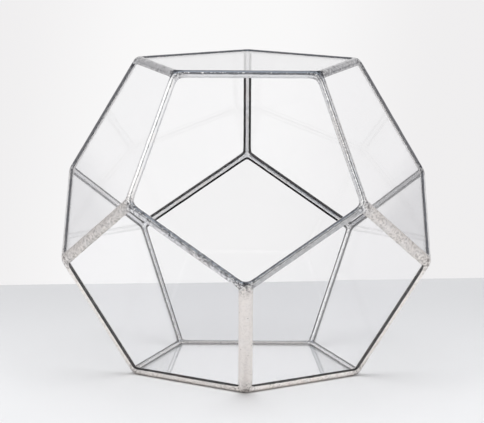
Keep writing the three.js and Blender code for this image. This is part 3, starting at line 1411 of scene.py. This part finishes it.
@dataclass
class Studio:
    """A pale table with a white sweep behind it, soft light, and the camera; the sweep glows with painted
    light.

    Attributes:
        azimuth: The camera's angle round the case, in degrees.
        elevation: Its angle above the table, in degrees.
        roll: Its roll, in degrees.
        distance: Its distance.
        target: The point at the middle of the picture.
        focal_pixels: The lens's focal length in pixels of a picture of the width below.
        picture_width: That width.
        table_half: Half the table's width, and how far it reaches to the front.
        table_depth: From the case's middle back to the table's far edge.
        table_slant: How much farther that edge is for each metre to the right.
        table_near: How far to the front the table's near colour begins.
        table_far_colour: The table's colour at its far edge, darkened there by painted shade.
        table_near_colour: Its colour in front.
        table_roughness: Its roughness.
        table_shine: How much it reflects.
        sweep_half: Half the sweep's width.
        sweep_depth: From the case's middle back to its wall.
        sweep_height: Height of the wall.
        sweep_middle: Where from left to right the sweep is whitest.
        sweep_colour: The colour that it glows with there, as painted light.
        tones: Its painted tones of shade, each laid over those before it. "across" is the distance from the
            sweep's
        middle to either side, and "aside" is that for each metre from the camera.
        fill: Height, width and brightness of the light overhead.
        room: The room round the table.
    """

    azimuth: float = 0.185
    elevation: float = 9.365
    roll: float = 0.322
    distance: float = 1.437
    target: tuple[float, float, float] = (-2.5 * MM, 0.0, 87.5 * MM)
    focal_pixels: float = 2604.4
    picture_width: int = 484
    table_half: float = 3.0
    table_depth: float = 0.2505
    table_slant: float = 0.112
    table_near: float = 0.10
    table_far_colour: Colour = (0.622, 0.620, 0.624)
    table_near_colour: Colour = (0.800, 0.796, 0.796)
    table_roughness: float = 0.5
    table_shine: float = 0.4
    sweep_half: float = 3.6
    sweep_depth: float = 3.1
    sweep_height: float = 1.35
    sweep_middle: float = -0.04
    sweep_colour: Colour = (0.95, 0.945, 0.945)
    tones: tuple[Tone, ...] = (
        Tone((0.87, 0.86, 0.865), (("aside", 0.02, 0.09),)),
        Tone((0.84, 0.84, 0.845), (("aside", 0.25, 0.45),)),
        Tone((0.87, 0.865, 0.87), (("Z", 0.1, 0.3),)),
        Tone((0.53, 0.53, 0.55), (("X", 0.5, -0.5), *LOW_BAND)),
        Tone((0.42, 0.42, 0.44), (("X", -0.5, 0.5), *LOW_BAND)),
        Tone((0.68, 0.68, 0.69), (("X", -2.15, -2.35), ("Z", 0.50, 0.65), ("Z", 0.92, 0.80))),
    )
    fill: tuple[float, float, float] = (2.0, 1.8, 3.0)
    room: RoomGlow = RoomGlow()

    def build(self) -> None:
        """Sets the table, the sweep behind it, the lights and the camera."""
        self._camera()
        self._table()
        self._sweep()
        self.room.build()
        self._fill()
        view = bpy.context.scene.view_settings
        view.view_transform = "Standard"
        view.look = "None"

    def _camera(self) -> None:
        """Adds the camera at the photograph's angle."""
        turn, rise = math.radians(self.azimuth), math.radians(self.elevation)
        back = Vector((math.sin(turn) * math.cos(rise), -math.cos(turn) * math.cos(rise), math.sin(rise)))
        camera = bpy.data.cameras.new("camera")
        camera.sensor_width = 36.0
        camera.lens = self.focal_pixels / self.picture_width * camera.sensor_width
        camera.clip_end = 20.0
        holder = bpy.data.objects.new("camera", camera)
        holder.location = Vector(self.target) + back * self.distance
        look = (-back).to_track_quat("-Z", "Y").to_matrix()
        roll = Matrix.Rotation(math.radians(self.roll), 3, "Z")
        holder.rotation_euler = (look @ roll).to_euler()
        bpy.context.collection.objects.link(holder)
        bpy.context.scene.camera = holder

    def _fill(self) -> None:
        """Adds the soft light overhead, which metal and glass don't reflect."""
        height, width, glow = self.fill
        light = bpy.data.lights.new("overhead_fill", "AREA")
        light.size = width
        light.energy = glow * math.pi * width**2
        holder = bpy.data.objects.new("overhead_fill", light)
        holder.location = (0.0, 0.0, height)
        holder.visible_camera = holder.visible_glossy = holder.visible_transmission = False
        bpy.context.collection.objects.link(holder)

    def _far_edge(self, half: float) -> list[tuple[float, float, float]]:
        """Returns the table's far edge from a distance left of the middle to the same at the right."""
        return [(x, self.table_depth + self.table_slant * x, 0) for x in (-half, half)]

    def _table(self) -> None:
        """Adds the pale table top, with painted shade that darkens it towards its far edge."""
        half = self.table_half
        verts = [(-half, -half, 0), (half, -half, 0), *reversed(self._far_edge(half))]
        tree = ShaderTree("table_top")
        # Painted shade: the colour darkens from the front towards the far edge.
        nearness = tree.step(tree.parts(tree.place)["Y"], self.table_depth, -self.table_near)
        tree.set(
            Base_Color=tree.mix(nearness, self.table_far_colour, self.table_near_colour),
            Roughness=self.table_roughness,
            Specular_IOR_Level=self.table_shine,
        )
        self._stage("table", verts, [(0, 1, 2, 3)], tree.material)

    def _sweep(self) -> None:
        """Adds the white sweep behind the table: flat, then a wall, which glows with painted light and
        painted darker tones of shade.
        """
        half, back = self.sweep_half, self.sweep_depth
        verts = self._far_edge(half)
        for height in (0, self.sweep_height):
            verts += [(half, back, height), (-half, back, height)]
        tree = ShaderTree("white_sweep")
        measures = tree.parts(tree.place)
        measures["across"] = tree.math("ABSOLUTE", tree.math("SUBTRACT", measures["X"], self.sweep_middle))
        measures["aside"] = tree.math("DIVIDE", measures["across"], tree.plus(measures["Y"], self.distance))
        glow = self.sweep_colour
        for tone in self.tones:
            cover = tree.times(*(tree.step(measures[name], start, end) for name, start, end in tone.steps))
            glow = tree.mix(cover, glow, tone.colour)
        # The sweep glows: its colour is painted light and shade, not lit by the lamps.
        tree.set(Base_Color=(0.0, 0.0, 0.0), Specular_IOR_Level=0.0)
        tree.set(Emission_Strength=1.0, Emission_Color=glow)
        self._stage("sweep", verts, [(0, 1, 2, 3), (3, 2, 4, 5)], tree.material)

    @staticmethod
    def _stage(name: str, verts: list, faces: list, material: Material) -> None:
        """Adds a piece of the studio.

        Args:
            name: Its name.
            verts: Its points.
            faces: Its faces.
            material: Its material.
        """
        mesh = bpy.data.meshes.new(name)
        mesh.from_pydata(verts, [], faces)
        mesh.materials.append(material)
        piece = bpy.data.objects.new(name, mesh)
        bpy.context.collection.objects.link(piece)


def main() -> None:
    """Builds the case and its studio."""
    logging.basicConfig(level=logging.INFO, format="%(name)s: %(message)s")
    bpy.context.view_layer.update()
    form = CaseForm()
    panes = TapedPanes(form)
    for piece in (*panes.build(), SolderFrame(form, panes).build()):
        LOG.info("%s has %d faces", piece.name, len(piece.data.polygons))
    Studio().build()


if __name__ == "__main__":
    main()
